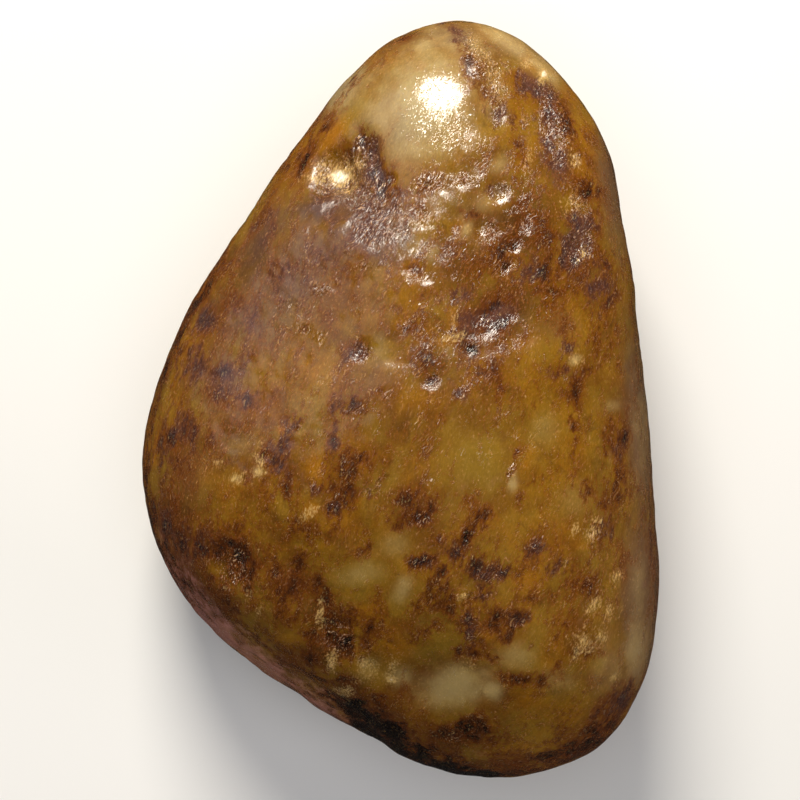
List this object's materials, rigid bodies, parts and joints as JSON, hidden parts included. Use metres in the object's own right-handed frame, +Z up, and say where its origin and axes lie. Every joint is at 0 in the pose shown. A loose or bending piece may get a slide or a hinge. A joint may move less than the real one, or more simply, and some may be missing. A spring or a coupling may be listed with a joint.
{
  "type": "raw nephrite jade pebble",
  "caption": "Water-worn jade river stone with a narrow rounded tip, a bulging side, a brown mottled skin and a worn flat underneath to rest on.",
  "frame": {"origin": "below the middle of the stone's box, in the plane of the worn flat that it rests on", "axes": "+Z up, away from the worn flat; +Y along the stone towards its narrow tip; +X across it, towards the long straight side"},
  "size_m": [0.0478, 0.0696, 0.0289],
  "materials": {
    "jade_skin": "water-worn natural polish: waxy gloss, honey and olive brown with russet and umber mottling, slightly translucent"
  },
  "bodies": {
    "root": {"jade_pebble": "jade_skin"}
  },
  "joints": []
}
